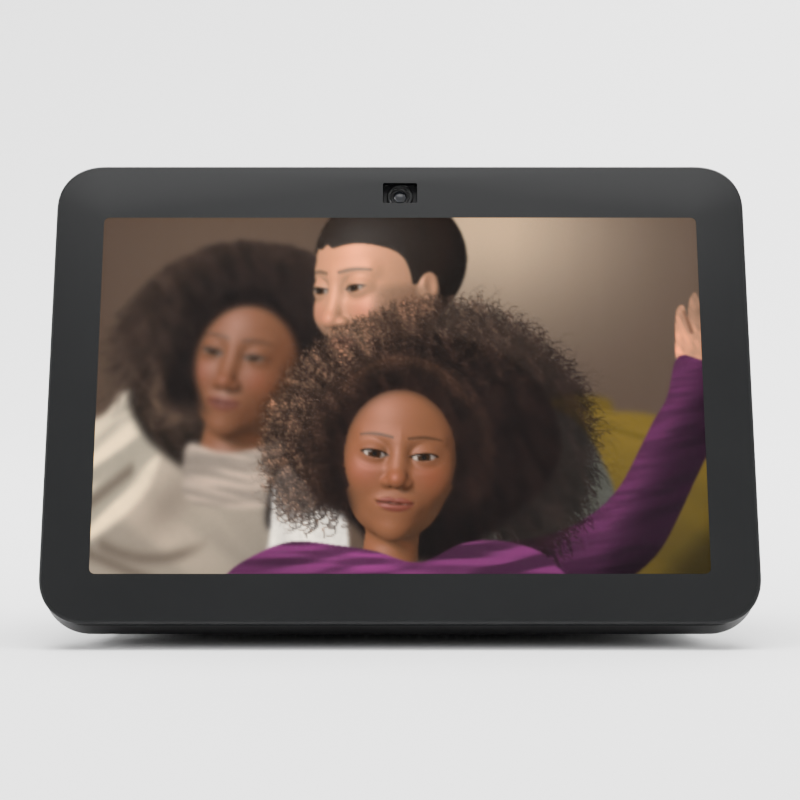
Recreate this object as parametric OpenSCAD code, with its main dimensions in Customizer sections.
// Tabletop smart display: a tilted glass-fronted slab on a fabric-covered speaker body.
// The frame has +Z up, the glass faces -Y, and the origin is at the base's bottom centre.
// Slab parts are drawn in slab space: x right, y up the slab from its lower edge, z out of the glass.

/* [Front slab] */
// Width of the slab
slab_w = 200; // [196:1:206]
// Height of the slab, measured along its face
slab_h = 138.4; // [138:0.2:142]
// Thickness of the slab, glass included
slab_t = 11; // [11:0.5:13]
// Radius of the slab's corners
slab_r = 14; // [12:0.5:16]
// Lean of the glass back from vertical, in degrees
tilt = 22; // [20:0.5:24]
// Height of the slab's lowest edge above the table
slab_lift = 3; // [2.8:0.2:5]

/* [Screen] */
// Width of the lit area
screen_w = 172.2; // [168:0.2:174]
// Height of the lit area
screen_h = 107.7; // [104:0.1:108]
// Black border below the lit area
screen_margin = 14.2; // [13.6:0.1:14.6]
// Radius of the lit area's corners
screen_r = 2.6; // [1:0.2:4]

/* [Speaker body] */
// Overall depth, from the slab's front edge to the body's back
depth = 106; // [104:1:112]
// Width of the body where it meets the slab
body_w = 188; // [184:1:190]
// Width of the base
base_w = 152; // [148:1:156]
// Thickness of the moulded shell
shell_t = 2.4; // [2:0.1:2.6]
// Thickness of the knitted cover
fabric_t = 0.9; // [0.6:0.1:1]

/* [Controls] */
// Length of a button cap
button_l = 11.6; // [8:0.2:12]
// Travel of a button
button_travel = 0.4; // [0.2:0.05:0.45]
// Travel of the camera shutter
shutter_travel = 12; // [11:0.5:12]

/* [Audio] */
// Side of a speaker driver's square flange
driver_w = 42; // [40:1:43]
// Travel of a speaker cone each way
cone_travel = 2; // [1:0.25:2]
// Travel of the passive radiator each way
radiator_travel = 3; // [1:0.25:3]

/* [Hidden] */
$fn = 48;
eps = 0.1;

// Slab placement: its bevelled lower edge is the frontmost line of the object.
glass_bevel = 0.7;
slab_y = -depth / 2 - glass_bevel * sin(tilt);
slab_z = slab_lift + slab_t * sin(tilt);
slab_mid = slab_h / 2;

// Levels through the slab, measured from the front of the glass.
glass_t = 1.1;
film_t = 0.1;
adhesive_t = 0.2;
film_z = -glass_t - film_t;
ledge_z = film_z - adhesive_t;
touch_t = 0.5;
touch_z = film_z - touch_t;
cell_t = 1.5;
cell_z = touch_z - cell_t;
films_t = 0.4;
guide_t = 2;
guide_z = cell_z - films_t - guide_t;
tray_wall = 0.3;
tray_z = guide_z - tray_wall;
floor_t = 1.6;
floor_z = -slab_t + floor_t;

// Pockets of the slab frame.
side_wall = 1.8;
rear_chamfer = 0.6;
lip = 0.8;
lcd_pocket = [slab_w - 14, slab_h - 18.2];
lcd_mid = 5.4 + lcd_pocket[1] / 2;
top_pocket_w = slab_w - 24;
top_pocket_y0 = lcd_mid + lcd_pocket[1] / 2 + 1.4;
top_wall_y = slab_h - side_wall;
cable_slot = [24, 12];
cable_slot_y = 55;

// Camera, set below the slab's top edge.
camera_y = slab_h - 8.6;
camera_window = [10, 6.4];
camera_size = [9.6, 8.6];
camera_front = -3.4;
camera_back = -8.5;
lens_r = 3.9;
lens_ring_r = 2.35;
element_r = 1.85;
shutter_x = 12.5;
blade = [12, 7.4, 0.4];
blade_z = -2;
shutter_track = [26, 4.4, 0.6];

// Buttons, on the slab's top edge.
control_z = -6;
button_xs = [-68, -50, -26];
button_w = 3.2;
button_proud = 0.6;
hole_gap = 0.15;
flange_t = 0.8;
switch_board_y = 130.7;
switch_board_t = 1;
switch_h = 1.5;
plunger_h = 0.3;
button_gap = 0.5;
microphone_xs = [-84, -79.5, 79.5, 84];

// Body outline: a rounded plate on the slab's back, a rounded base and three pairs of balls.
// Each ball is [x, y, z, radius]; ball_reach is how far its faceted equator reaches.
ball_fn = 32;
ball_reach = cos(180 / ball_fn);
body_y0 = 8;
body_y1 = 131;
body_r = 12;
base_z = 2.6;
base_y0 = -20;
base_y1 = 40;
base_r = 24;
base_mid_y = (base_y0 + base_y1) / 2;
balls = [
  [50, depth / 2 - 36 * ball_reach, 39.5, 36],
  [57, 17, 70, 30],
  [64, 18.5, 100, 20]
];
shell_z = 6;
shell_floor_t = 2;
cavity_inset = fabric_t + shell_t;
cavity_z = shell_z + shell_floor_t;
sleeve_z = 6.6;

// Speaker enclosure and what it carries.
box_w = 136;
box_y = [-14, 28.5];
box_z = [12, 62];
box_wall = 2.2;
box_mid_y = (box_y[0] + box_y[1]) / 2;
driver_z = 37.5;
cup_r = 17.4;
cup_depth = 14;
cone_r = 13.2;
flange_front = 2;
roll_t = 0.4;
roll_r = 2.2;
roll_mid = cone_r + roll_r;
motor_r = 14;
pole_r = 6.2;
coil_r = 7.1;
radiator_z = 43;
radiator_frame_size = [84, 37];
radiator_hole = [72, 27];
radiator_plate_size = [60, 15];

// Main board, parallel to the slab's back.
board = [116, 50, 1.6];
board_y = 96;
board_z = -17 - board[2];
board_posts = [for (x = [-54, 54], y = [-22, 22]) [x, board_y + y]];

// Power inlet at the back.
jack_z = 18;
jack_y = [29, 41];
jack_size = [9, 11];
jack_board_t = 1.2;
jack_board_z = jack_z - jack_size[1] / 2 - jack_board_t;
jack_posts = [for (x = [-9.5, 9.5]) [x, jack_y[0] + 4]];
bezel_r = [5.5, 7.9];
bezel_l = 6;
bezel_hole_r = 8.2;

// Screws: clearance hole, pilot hole, shank, head.
clear_r = 1.6;
pilot_r = 1.2;
shank_r = 1.15;
head_r = 2.4;
head_h = 1.4;
slab_bosses = [
  for (s = [-1, 1], p = [[84, 26], [84, 68], [76, 110]]) [s * p[0], p[1]]
];
boss_r = 4;
boss_l = 11;
base_posts = [for (x = [-62, 62], y = [2, 17]) [x, y]];
box_legs = [for (x = [-58, 58], y = [-9, 24]) [x, y]];
leg_r = 3.4;

// ---------- helpers ----------

// Points of a rounded rectangle centred on the origin.
function rounded_points(size, r) = let (n = r > 8 ? 24 : 12) [
  for (c = [0:3], i = [0:n])
    let (a = 90 * (c + i / n), sx = c == 0 || c == 3 ? 1 : -1, sy = c < 2 ? 1 : -1)
      [sx * (size[0] / 2 - r) + r * cos(a), sy * (size[1] / 2 - r) + r * sin(a)]
];

module rounded_rect(size, r) polygon(rounded_points(size, r));

// A rounded plate centred on at, from z upwards.
module plate(size, r, at = [0, 0], z = 0, t = 1)
  translate([at[0], at[1], z]) linear_extrude(t) rounded_rect(size, r);

// A plain block centred in x and y on at, from z upwards.
module block(size, at = [0, 0], z = 0)
  translate([at[0] - size[0] / 2, at[1] - size[1] / 2, z]) cube(size);

module on_slab()
  translate([0, slab_y, slab_z]) rotate([90 - tilt, 0, 0]) children();

// Slab space seen from above the top edge: x right, y towards the glass, z up the slab.
module on_top_edge(y)
  on_slab() translate([0, y, control_z]) rotate([-90, 0, 0]) mirror([0, 1, 0]) children();

module at_driver(side)
  translate([side * box_w / 2, box_mid_y, driver_z]) rotate([0, side * 90, 0]) children();

module at_radiator()
  translate([0, box_y[1], radiator_z]) rotate([-90, 0, 0]) children();

function unit(v) = v / norm(v);

// Rings of points round a path, for a tube of round section.
function tube_ring(path, i, r, n) =
  let (
    last = len(path) - 1,
    along = unit(path[min(i + 1, last)] - path[max(i - 1, 0)]),
    side = unit(cross(along, abs(along[2]) < 0.9 ? [0, 0, 1] : [1, 0, 0])),
    up = cross(side, along)
  )
  [for (k = [0:n - 1]) path[i] + r * (cos(360 * k / n) * side + sin(360 * k / n) * up)];

// A closed tube that follows a path.
module tube(path, r, n = 8) {
  rings = len(path);
  points = [for (i = [0:rings - 1]) each tube_ring(path, i, r, n)];
  sides = [
    for (i = [0:rings - 2], k = [0:n - 1])
      let (a = i * n + k, b = i * n + (k + 1) % n)
        each [[a, b, b + n], [a, b + n, a + n]]
  ];
  start = [for (k = [1:n - 2]) [0, k + 1, k]];
  end = [for (k = [1:n - 2]) let (o = (rings - 1) * n) [o, o + k, o + k + 1]];
  polyhedron(points, concat(sides, start, end));
}

// Points of a smooth curve through four control points.
function bend(a, b, c, d, n = 10) = [
  for (i = [0:n])
    let (t = i / n, s = 1 - t)
      s * s * s * a + 3 * s * s * t * b + 3 * s * t * t * c + t * t * t * d
];

// Outline of a flat strip of thickness t that follows a 2D path.
function strip_normal(path, i) =
  let (last = len(path) - 1, d = unit(path[min(i + 1, last)] - path[max(i - 1, 0)]))
    [-d[1], d[0]];
function strip_points(path, t) = concat(
  [for (i = [0:len(path) - 1]) path[i] + t / 2 * strip_normal(path, i)],
  [for (i = [len(path) - 1:-1:0]) path[i] - t / 2 * strip_normal(path, i)]
);

// Four upright cylinders at the corners of a rounded rectangle.
module corner_posts(w, y0, y1, r, z, h)
  for (x = [-1, 1], y = [y0 + r, y1 - r])
    translate([x * (w / 2 - r), y, z]) cylinder(r = r, h = h, $fn = 32);

// Solid body shape, drawn in by inset; front is its slab-side face and bottom its lowest level.
module body_form(inset = 0, front = -slab_t, bottom = base_z)
  hull() {
    on_slab()
      corner_posts(body_w - 2 * inset, body_y0 + inset, body_y1 - inset, body_r - inset,
        -slab_t - 1, front + slab_t + 1);
    corner_posts(base_w - 2 * inset, base_y0 + inset, base_y1 - inset, base_r - inset,
      bottom, 1);
    for (s = [-1, 1], b = balls)
      translate([s * b[0], b[1], b[2]]) sphere(r = b[3] - inset, $fn = ball_fn);
  }

module below(z) translate([-150, -150, z - 100]) cube([300, 300, 100]);

// Screw with its head's top at the origin and its shank running down.
module screw(length)
  union() {
    translate([0, 0, -head_h]) cylinder(r = head_r, h = head_h);
    translate([0, 0, -head_h - length]) cylinder(r = shank_r, h = length + eps);
  }

// ---------- slab: glass and display stack ----------

module cover_glass()
  color("black") on_slab() translate([0, slab_mid, 0]) hull() {
    translate([0, 0, -glass_t])
      linear_extrude(glass_t - glass_bevel) rounded_rect([slab_w, slab_h], slab_r);
    translate([0, 0, -glass_t])
      linear_extrude(glass_t)
        rounded_rect([slab_w - 2 * glass_bevel, slab_h - 2 * glass_bevel], slab_r - glass_bevel);
  }

module bezel_film()
  color("black") on_slab() difference() {
    plate([slab_w - 2 * lip - 0.2, slab_h - 2 * lip - 0.2], slab_r - lip, [0, slab_mid], film_z, film_t);
    plate([screen_w, screen_h], screen_r, [0, screen_margin + screen_h / 2], film_z - eps, 1);
    plate(camera_window, 0.5, [0, camera_y], film_z - eps, 1);
  }

module glass_adhesive()
  color("dimgray") on_slab() difference() {
    plate([slab_w - 2 * lip - 0.4, slab_h - 2 * lip - 0.4], slab_r - lip, [0, slab_mid], ledge_z, adhesive_t);
    plate([lcd_pocket[0] + 1, lcd_pocket[1] + 1], 1.5, [0, lcd_mid], ledge_z - eps, 1);
    plate([top_pocket_w, 10.5], 2, [0, camera_y + 1.9], ledge_z - eps, 1);
  }

module touch_sensor()
  color("lightgray", 0.5) on_slab()
    plate([lcd_pocket[0] - 1, lcd_pocket[1] - 1], 1, [0, lcd_mid], touch_z, touch_t);

module lcd_cell()
  color("saddlebrown") on_slab()
    plate([lcd_pocket[0] - 2, lcd_pocket[1] - 2.2], 1, [0, lcd_mid], cell_z, cell_t);

module optical_films()
  color("white") on_slab()
    plate([lcd_pocket[0] - 5, lcd_pocket[1] - 5.2], 1, [0, lcd_mid], cell_z - films_t, films_t);

guide_size = [lcd_pocket[0] - 5, lcd_pocket[1] - 9.4];
guide_y = lcd_mid + 2.1;

module light_guide()
  color("white") on_slab() plate(guide_size, 0.8, [0, guide_y], guide_z, guide_t);

// A strip of LEDs along the light guide's lower edge.
module led_bar()
  color("lightyellow") on_slab() {
    y0 = guide_y - guide_size[1] / 2;
    block([guide_size[0], 1, guide_t], [0, y0 - 2], guide_z);
    for (i = [-8:8]) block([3.8, 1.2, 1], [i * 10.2, y0 - 0.9], guide_z + 0.4);
  }

module backlight_tray()
  color("silver") on_slab() difference() {
    plate([lcd_pocket[0] - 2, lcd_pocket[1] - 2.2], 1, [0, lcd_mid], tray_z, cell_z - tray_z);
    plate([lcd_pocket[0] - 2 - 2 * tray_wall, lcd_pocket[1] - 2.2 - 2 * tray_wall], 0.8,
      [0, lcd_mid], guide_z, 10);
  }

module display_board()
  color("darkgreen") on_slab() {
    block([120, 16, 1], [0, 30], tray_z - 1.1);
    for (x = [-36, 0, 34]) block([16, 6, 1.2], [x, 31], tray_z - 2.3 + eps);
  }

module slab_frame()
  color("#2b2c2d") on_slab() difference() {
    union() {
      hull() {
        plate([slab_w, slab_h], slab_r, [0, slab_mid], rear_chamfer - slab_t, slab_t - glass_t - rear_chamfer);
        plate([slab_w - 2 * rear_chamfer, slab_h - 2 * rear_chamfer], slab_r - rear_chamfer,
          [0, slab_mid], -slab_t, slab_t - glass_t);
      }
      for (p = board_posts) translate([p[0], p[1], board_z + board[2]])
        cylinder(r = 3, h = -slab_t - board_z - board[2] + eps);
    }
    plate([slab_w - 2 * lip, slab_h - 2 * lip], slab_r - lip, [0, slab_mid], ledge_z, 5);
    plate(lcd_pocket, 1, [0, lcd_mid], floor_z, 20);
    plate([top_pocket_w, top_wall_y - top_pocket_y0], 2,
      [0, (top_wall_y + top_pocket_y0) / 2], floor_z, 20);
    side_ribs();
    plate([2 * shutter_x + blade[0] + 2, blade[1] + 1], 0.5,
      [shutter_x / 2, camera_y], blade_z - 0.3, 5);
    block([camera_size[0] + 1, camera_size[1] + 0.4, 20], [0, camera_y], floor_z);
    plate(cable_slot, 2, [0, cable_slot_y], -slab_t - eps, 5);
    plate([16, 7], 1, [0, 113.8], -slab_t - eps, 5);
    top_edge_openings();
    for (p = slab_bosses) translate([p[0], p[1], -slab_t - eps]) cylinder(r = clear_r, h = 5);
    for (p = board_posts) translate([p[0], p[1], board_z + board[2] - eps]) cylinder(r = pilot_r, h = 7);
  }

// Moulded pockets that leave ribs between the display pocket and the outer wall.
module side_ribs() {
  rib_z = floor_z;
  for (s = [-1, 1], i = [0:6])
    block([3.6, 12.6, 20], [s * (slab_w / 2 - 4.4), 24.6 + 15 * i], rib_z);
  for (i = [-5:5]) block([12.6, 2.2, 20], [15 * i, 3.5], rib_z);
}

// Everything that opens through the slab's top edge: buttons, shutter track and sound holes.
module top_edge_openings() {
  for (x = button_xs) translate([x, slab_h - 5, control_z]) rotate([-90, 0, 0])
    linear_extrude(10) rounded_rect([button_l + 2 * hole_gap, button_w + 2 * hole_gap], button_w / 2);
  translate([shutter_x - shutter_travel / 2, slab_h - shutter_track[2], control_z]) rotate([-90, 0, 0])
    linear_extrude(5) rounded_rect([shutter_track[0], shutter_track[1]], shutter_track[1] / 2);
  translate([shutter_x - shutter_travel / 2, slab_h - 5, control_z]) rotate([-90, 0, 0])
    linear_extrude(10) rounded_rect([shutter_travel + 5, 2.6], 1.3);
  for (x = microphone_xs) translate([x, slab_h - 5, control_z]) rotate([-90, 0, 0])
    cylinder(r = 0.5, h = 10);
}

// ---------- slab: camera and controls ----------

module camera_housing()
  color("#202020") on_slab() difference() {
    plate(camera_size, 0.8, [0, camera_y], camera_back, camera_front - camera_back);
    translate([0, camera_y, camera_back + 1]) cylinder(r = lens_r - 0.7, h = 10);
  }

// Lens barrel with a stepped, conical mouth and a domed front element.
module camera_lens()
  color("#101418") on_slab() translate([0, camera_y, 0]) {
    barrel = lens_r - 0.8;
    front = camera_front + 0.9;
    seat = front - 1.2;
    rotate_extrude() polygon([
      [1.2, camera_back + 1.4], [barrel, camera_back + 1.4], [barrel, camera_front],
      [lens_r, camera_front], [lens_r, front - 0.3], [lens_r - 0.3, front], [lens_ring_r + 0.5, front],
      [lens_ring_r, front - 0.5], [lens_ring_r, front - 0.8], [element_r, seat], [1.2, seat]
    ]);
    translate([0, 0, seat]) intersection() {
      cylinder(r = element_r, h = 0.8);
      translate([0, 0, -3]) sphere(r = 3.6);
    }
  }

module camera_board()
  color("darkgreen") on_slab()
    block([camera_size[0], camera_size[1], 0.8], [0, camera_y], camera_back - 0.8);

module shutter_blade()
  color("white") on_slab() union() {
    block(blade, [shutter_x, camera_y], blade_z);
    block([7, 2.7, blade[2]], [shutter_x, camera_y + blade[1] / 2 + 1.25], blade_z);
    block([7, 1, 5.6], [shutter_x, camera_y + blade[1] / 2 + 2.1], blade_z - 5.2);
  }

module shutter_knob()
  color("#202122") on_slab() union() {
    translate([shutter_x, camera_y + blade[1] / 2 + 2.6, control_z]) rotate([-90, 0, 0])
      linear_extrude(slab_h - shutter_track[2] + 0.3 - camera_y - blade[1] / 2 - 2.6)
        rounded_rect([4.4, 2], 1);
    translate([shutter_x, slab_h - shutter_track[2] + 0.1, control_z]) rotate([-90, 0, 0])
      linear_extrude(1.2) rounded_rect([9, 3.6], 1.8);
  }

module button(x)
  color("#202122") on_slab() {
    top = slab_h + button_proud;
    flange = top_wall_y - 0.1 - flange_t;
    stem = switch_board_y + switch_board_t + switch_h + plunger_h + button_gap;
    union() {
      translate([x, flange, control_z]) rotate([-90, 0, 0])
        linear_extrude(top - flange) rounded_rect([button_l, button_w], button_w / 2);
      translate([x, flange, control_z]) rotate([-90, 0, 0])
        linear_extrude(flange_t) rounded_rect([button_l + 2.4, button_w + 1.8], 1);
      translate([x, stem, control_z]) rotate([-90, 0, 0])
        linear_extrude(flange - stem + eps) rounded_rect([4, 2.4], 0.6);
    }
  }

module button_board()
  color("darkgreen") on_slab()
    translate([(button_xs[0] + button_xs[2]) / 2, switch_board_y, control_z]) rotate([-90, 0, 0])
      linear_extrude(switch_board_t) rounded_rect([button_xs[2] - button_xs[0] + 14, 2 * (control_z - floor_z)], 1);

module button_switches()
  color("silver") on_slab() for (x = button_xs)
    translate([x, switch_board_y + switch_board_t, control_z]) rotate([-90, 0, 0]) union() {
      linear_extrude(switch_h) rounded_rect([4.5, 4.5], 0.4);
      cylinder(r = 1, h = switch_h + plunger_h);
    }

module microphones()
  color("goldenrod") on_slab() for (x = microphone_xs)
    translate([x, top_wall_y - 1.1, control_z]) rotate([-90, 0, 0])
      linear_extrude(1.1) difference() {
        rounded_rect([3.6, 2.8], 0.3);
        circle(r = 0.5);
      }

module microphone_boards()
  color("darkgreen") on_slab() for (s = [-1, 1])
    translate([s * 81.5, top_wall_y - 1.9, control_z]) rotate([-90, 0, 0])
      linear_extrude(0.8) rounded_rect([10, 4.6], 0.5);

// ---------- body ----------

module rear_shell()
  color("#26282a") difference() {
    union() {
      difference() {
        body_form(fabric_t);
        body_form(cavity_inset, -slab_t + 2, cavity_z);
      }
      intersection() {
        body_form(fabric_t + 0.4);
        shell_bosses();
      }
    }
    below(shell_z);
    for (p = slab_bosses) on_slab() translate([p[0], p[1], -slab_t - boss_l + 1])
      cylinder(r = pilot_r, h = boss_l);
    for (p = base_posts) translate([p[0], p[1], 0]) cylinder(r = pilot_r, h = 30);
    for (p = jack_posts) translate([p[0], p[1], shell_z + 1]) cylinder(r = pilot_r, h = 30);
    for (p = box_legs) translate([p[0], p[1], 0]) cylinder(r = clear_r, h = 30);
    translate([0, 36, jack_z]) rotate([-90, 0, 0]) cylinder(r = bezel_hole_r, h = 30);
    grille_slots();
  }

// Screw bosses with webs to the wall, and the pads for the base's screws.
module shell_bosses() {
  for (p = slab_bosses) on_slab() translate([p[0], p[1], -slab_t - boss_l]) {
    cylinder(r = boss_r, h = boss_l);
    translate([p[0] > 0 ? 0 : -16, -1, 0]) cube([16, 2, boss_l]);
  }
  for (p = base_posts) translate([p[0], p[1], shell_z]) cylinder(r = leg_r, h = 5.6);
  for (p = jack_posts) translate([p[0], p[1], shell_z]) cylinder(r = 2.8, h = jack_board_z - shell_z);
}

// Sound slots, under the knitted cover: a round field on each side and a row at the back.
module grille_slots() {
  for (s = [-1, 1], i = [-3:3]) {
    h = 2 * sqrt(pow(19, 2) - pow(4.8 * i, 2));
    translate([s * 88 - 12, box_mid_y + 4.8 * i - 1.3, driver_z - h / 2]) cube([24, 2.6, h]);
  }
  for (i = [-6:6]) translate([6 * i - 1.3, 36, radiator_z - 11]) cube([2.6, 24, 24]);
}

module fabric_sleeve()
  color("#3a3c3f") difference() {
    body_form(0);
    body_form(fabric_t, -slab_t + 2);
    below(sleeve_z);
    translate([0, 36, jack_z]) rotate([-90, 0, 0]) cylinder(r = bezel_hole_r, h = 30);
  }

module base_plate()
  color("#202122") difference() {
    intersection() {
      body_form(0);
      below(shell_z);
    }
    difference() {
      plate([base_w - 10, base_y1 - base_y0 - 10], base_r - 5, [0, base_mid_y], base_z + 1.8, 10);
      for (p = base_posts) translate([p[0], p[1], 0]) cylinder(r = leg_r, h = 20);
    }
    for (p = base_posts) translate([p[0], p[1], 0]) {
      cylinder(r = clear_r, h = 20);
      cylinder(r = head_r + 0.2, h = base_z + head_h * 0.5);
    }
  }

module rubber_foot()
  color("#17181a") difference() {
    plate([base_w - 16, base_y1 - base_y0 - 8], base_r - 6, [0, base_mid_y], 0, base_z);
    plate([base_w - 40, base_y1 - base_y0 - 32], base_r - 14, [0, base_mid_y], -eps, base_z + 1);
    for (p = base_posts) translate([p[0], p[1], 1]) cylinder(r = head_r + 0.2, h = 10);
  }

// ---------- audio ----------

module speaker_enclosure()
  color("#1d1e20") difference() {
    union() {
      difference() {
        plate([box_w, box_y[1] - box_y[0]], 4, [0, box_mid_y], box_z[0], box_z[1] - box_z[0]);
        plate([box_w - 2 * box_wall, box_y[1] - box_y[0] - 2 * box_wall], 2, [0, box_mid_y],
          box_z[0] + box_wall, box_z[1] - box_z[0] - 2 * box_wall);
      }
      for (p = box_legs) translate([p[0], p[1], cavity_z])
        cylinder(r = leg_r, h = box_z[0] - cavity_z + eps);
    }
    for (s = [-1, 1]) at_driver(s) {
      translate([0, 0, -10]) cylinder(r = cup_r + 0.3, h = 20);
      driver_holes() translate([0, 0, -8]) cylinder(r = pilot_r - 0.3, h = 10);
    }
    at_radiator() translate([0, 0, -10])
      linear_extrude(20) rounded_rect(radiator_hole + [2, 2], radiator_hole[1] / 2);
    for (p = box_legs) translate([p[0], p[1], 0]) cylinder(r = pilot_r, h = box_z[0] + 1);
  }

module driver_holes()
  for (x = [-1, 1], y = [-1, 1])
    translate([x * (driver_w / 2 - 3), y * (driver_w / 2 - 3), 0]) children();

module speaker_basket(side)
  color("#303234") at_driver(side) difference() {
    union() {
      linear_extrude(2) rounded_rect([driver_w, driver_w], 4);
      translate([0, 0, -cup_depth]) cylinder(r = cup_r, h = cup_depth + eps);
    }
    translate([0, 0, -cup_depth + 1.4]) cylinder(r = cup_r - 1.2, h = 30);
    translate([0, 0, -cup_depth - eps]) cylinder(r = 11, h = 10);
    for (a = [0, 90]) rotate([0, 0, a]) block([50, 12, 9], [0, 0], -cup_depth + 2.6);
    driver_holes() translate([0, 0, -eps]) cylinder(r = 1.2, h = 5);
  }

// Magnet, yoke, pole and top plate, with the ring gap that the voice coil runs in.
module speaker_motor(side)
  color("dimgray") at_driver(side) rotate_extrude() polygon([
    [0, -25], [motor_r, -25], [motor_r, -cup_depth], [coil_r + 0.3, -cup_depth],
    [coil_r + 0.3, -16], [8.6, -16], [8.6, -23], [pole_r, -23], [pole_r, -cup_depth], [0, -cup_depth]
  ]);

// Cone, dust cap and voice coil former, drawn as one section and turned.
module speaker_cone(side)
  color("#4a4c4e") at_driver(side) rotate_extrude() polygon(concat(
    [[coil_r, -17.5], [coil_r, -6.6], [cone_r, 1.4], [cone_r, flange_front], [cone_r - 1.1, flange_front],
      [coil_r + 0.4, -5.4]],
    [for (a = [15:15:90]) [(coil_r + 0.4) * cos(a), -5.4 + 2.4 * sin(a)]],
    [for (a = [90:-15:0]) [(coil_r - 0.5) * cos(a), -6 + 2.4 * sin(a)]],
    [[coil_r - 0.5, -17.5]]
  ));

// Half-roll of rubber, with a lip on the cone's rim and a lip on the basket's flange.
module speaker_surround(side)
  color("#1a1a1a") at_driver(side) translate([0, 0, flange_front]) rotate_extrude() polygon(concat(
    [[cone_r - 1, 0], [cone_r - 1, roll_t]],
    [for (a = [168:-12:12]) [roll_mid + roll_r * cos(a), roll_r * sin(a)]],
    [[roll_mid + roll_r + 1.6, roll_t], [roll_mid + roll_r + 1.6, 0]],
    [for (a = [0:12:180]) [roll_mid + (roll_r - roll_t) * cos(a), (roll_r - roll_t) * sin(a)]]
  ));

module radiator_frame()
  color("#303234") at_radiator() difference() {
    linear_extrude(2) rounded_rect(radiator_frame_size, 6);
    translate([0, 0, -eps]) linear_extrude(5) rounded_rect(radiator_hole, radiator_hole[1] / 2 - eps);
    for (x = [-1, 1], y = [-1, 1])
      translate([x * 39, y * 15.5, -eps]) cylinder(r = 1, h = 5);
  }

module radiator_plate()
  color("silver") at_radiator()
    linear_extrude(2) rounded_rect(radiator_plate_size, radiator_plate_size[1] / 2 - eps);

// Flat rubber web round the plate, with a raised bead.
module radiator_surround()
  color("#1a1a1a") at_radiator() union() {
    translate([0, 0, 0.8]) linear_extrude(0.5) difference() {
      rounded_rect(radiator_hole - [0.2, 0.2], radiator_hole[1] / 2 - 0.3);
      rounded_rect(radiator_plate_size + [0.2, 0.2], radiator_plate_size[1] / 2);
    }
    translate([0, 0, 1.2]) linear_extrude(1.4) difference() {
      rounded_rect(radiator_hole - [3, 3], radiator_hole[1] / 2 - 1.7);
      rounded_rect(radiator_plate_size + [3, 3], radiator_plate_size[1] / 2 + 1.3);
    }
  }

// ---------- electronics ----------

module main_board()
  color("darkgreen") on_slab() difference() {
    plate([board[0], board[1]], 2, [0, board_y], board_z, board[2]);
    for (p = board_posts) translate([p[0], p[1], board_z - eps]) cylinder(r = clear_r, h = 5);
  }

// Processor, memory and power chips on the back of the board.
chips = [[0, 4, 14, 14], [-20, 4, 11, 13], [17, 6, 9, 9], [30, -14, 8, 8], [-34, -10, 7, 9], [40, 10, 6, 6]];

module main_board_chips()
  color("#222222") on_slab() for (c = chips)
    block([c[2], c[3], 1.2], [c[0], board_y + c[1]], board_z - 1.2);

module board_connectors()
  color("ivory") on_slab() {
    block([24, 5, 2], [0, board_y - 20], board_z + board[2]);
    block([10, 4, 2], [0, board_y + 19], board_z + board[2]);
    block([9, 5, 4], [-40, board_y - 18], board_z - 4);
    block([9, 5, 4], [40, board_y - 18], board_z - 4);
  }

module rf_shield()
  color("silver") on_slab() difference() {
    block([46, 26, 2.6], [0, board_y], board_z + board[2]);
    block([45.4, 25.4, 2.4], [0, board_y], board_z + board[2] - eps);
  }

module thermal_pad()
  color("lightblue") on_slab() block([44, 15, 0.6], [-4, board_y + 4], board_z - 1.8);

module heat_sink()
  color("silver") on_slab() union() {
    block([56, 24, 1.6], [-4, board_y + 4], board_z - 3.4);
    for (i = [-6:6]) block([1.2, 24, 6 + eps], [-4 + 4.4 * i, board_y + 4], board_z - 9.4);
  }

module wifi_antennas()
  color("goldenrod") on_slab() for (s = [-1, 1])
    block([8, 26, 0.8], [s * 66, 104], -slab_t - 0.8);

module power_jack()
  color("#101010") difference() {
    translate([-jack_size[0] / 2, jack_y[0], jack_z - jack_size[1] / 2])
      cube([jack_size[0], jack_y[1] - jack_y[0], jack_size[1]]);
    translate([0, jack_y[1] - 9.5, jack_z]) rotate([-90, 0, 0]) cylinder(r = 2.9, h = 20);
    translate([0, jack_y[0] - eps, jack_z]) rotate([-90, 0, 0]) cylinder(r = 1, h = 8);
  }

module power_jack_contacts()
  color("silver") translate([0, jack_y[0], jack_z]) rotate([-90, 0, 0]) {
    cylinder(r = 0.95, h = 9.8);
    translate([0, 0, 9.8]) sphere(r = 0.95);
  }

module jack_bezel()
  color("#202122") translate([0, jack_y[1], jack_z]) rotate([-90, 0, 0]) difference() {
    cylinder(r = bezel_r[1], h = bezel_l);
    translate([0, 0, -eps]) cylinder(r = bezel_r[0], h = bezel_l + 1);
  }

module jack_board()
  color("darkgreen") difference() {
    block([26, 8.6, jack_board_t], [0, jack_y[0] + 4.3], jack_board_z);
    for (p = jack_posts) translate([p[0], p[1], 0]) cylinder(r = clear_r, h = 30);
  }

// ---------- cables ----------

// A flat cable of the given width, bent in the slab's y-z plane.
module flat_cable(path, width, t = 0.3)
  translate([-width / 2, 0, 0]) rotate([90, 0, 90]) linear_extrude(width) polygon(strip_points(path, t));

module display_flex()
  color("darkorange") on_slab() flat_cable(concat(
    [[34.6, -7.2]],
    bend([37, -7.2], [60, -7.2], [52, -13.6], [73.4, -15.2], 8)
  ), 20);

module camera_flex()
  color("darkorange") on_slab() flat_cable(concat(
    bend([camera_y - camera_size[1] / 2 - 0.05, -9.1], [120, -9], [113.2, -8.2], [113.2, -12.5], 6),
    [[113.6, -14.6]]
  ), 6, 0.25);

lead_r = 0.7;

module speaker_leads()
  color("crimson") for (s = [-1, 1])
    tube(bend([s * 50, 16, box_z[1] + lead_r], [s * 50, 10, 68], [s * 44, 2, 68],
      [s * 42, -2.2, 70.6], 12), lead_r);

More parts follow.
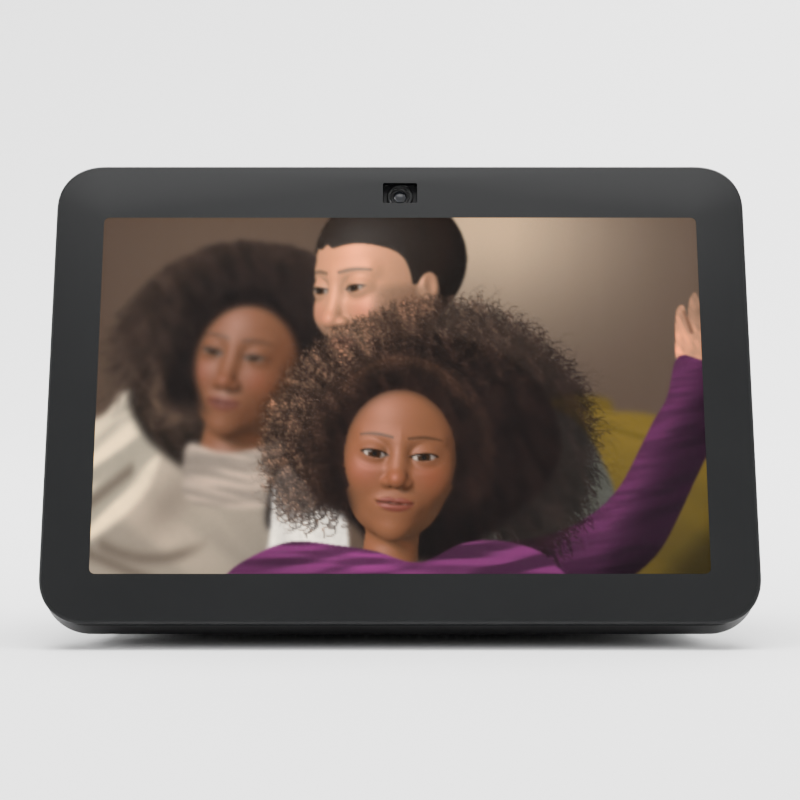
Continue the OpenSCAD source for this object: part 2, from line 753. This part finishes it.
module power_leads()
  color("gold") for (s = [-1, 1])
    tube(concat(
      bend([s * 7, 36.6, jack_board_z + jack_board_t + 0.1], [s * 7, 36.6, 20], [s * 44, 37, 14],
        [s * 45, 36, 30], 10),
      bend([s * 45, 36, 40], [s * 45, 36, 76], [s * 38, 16, 68], [s * 38, -2.2, 70.6], 12)
    ), lead_r);

// ---------- fasteners ----------

module slab_screws()
  color("silver") on_slab() for (p = slab_bosses)
    translate([p[0], p[1], floor_z + head_h]) screw(10);

module board_screws()
  color("silver") {
    on_slab() for (p = board_posts)
      translate([p[0], p[1], board_z - head_h]) rotate([180, 0, 0]) screw(5.5);
    for (p = jack_posts)
      translate([p[0], p[1], jack_board_z + jack_board_t + head_h]) screw(4);
  }

module enclosure_screws()
  color("silver") for (p = box_legs)
    translate([p[0], p[1], shell_z - head_h]) rotate([180, 0, 0]) screw(5.5);

module base_screws()
  color("silver") for (p = base_posts)
    translate([p[0], p[1], base_z - head_h * 0.5]) rotate([180, 0, 0]) screw(6.5);

module driver_screws()
  color("silver") for (s = [-1, 1]) at_driver(s) driver_holes() union() {
    translate([0, 0, 2]) cylinder(r = 1.8, h = 1);
    translate([0, 0, -3]) cylinder(r = pilot_r - 0.35, h = 5 + eps);
  }

// ---------- nodes ----------

cover_glass();
bezel_film();
glass_adhesive();
touch_sensor();
lcd_cell();
optical_films();
light_guide();
led_bar();
backlight_tray();
display_board();
slab_frame();
camera_housing();
camera_lens();
camera_board();
shutter_blade();
shutter_knob();
button(button_xs[0]);  // volume_down_button
button(button_xs[1]);  // volume_up_button
button(button_xs[2]);  // mute_button
button_board();
button_switches();
microphones();
microphone_boards();
rear_shell();
fabric_sleeve();
base_plate();
rubber_foot();
speaker_enclosure();
speaker_basket(-1);  // left_speaker_basket
speaker_motor(-1);  // left_speaker_motor
speaker_cone(-1);  // left_speaker_cone
speaker_surround(-1);  // left_speaker_surround
speaker_basket(1);  // right_speaker_basket
speaker_motor(1);  // right_speaker_motor
speaker_cone(1);  // right_speaker_cone
speaker_surround(1);  // right_speaker_surround
radiator_frame();
radiator_plate();
radiator_surround();
main_board();
main_board_chips();
board_connectors();
rf_shield();
thermal_pad();
heat_sink();
wifi_antennas();
power_jack();
power_jack_contacts();
jack_bezel();
jack_board();
display_flex();
camera_flex();
speaker_leads();
power_leads();
slab_screws();
board_screws();
enclosure_screws();
base_screws();
driver_screws();
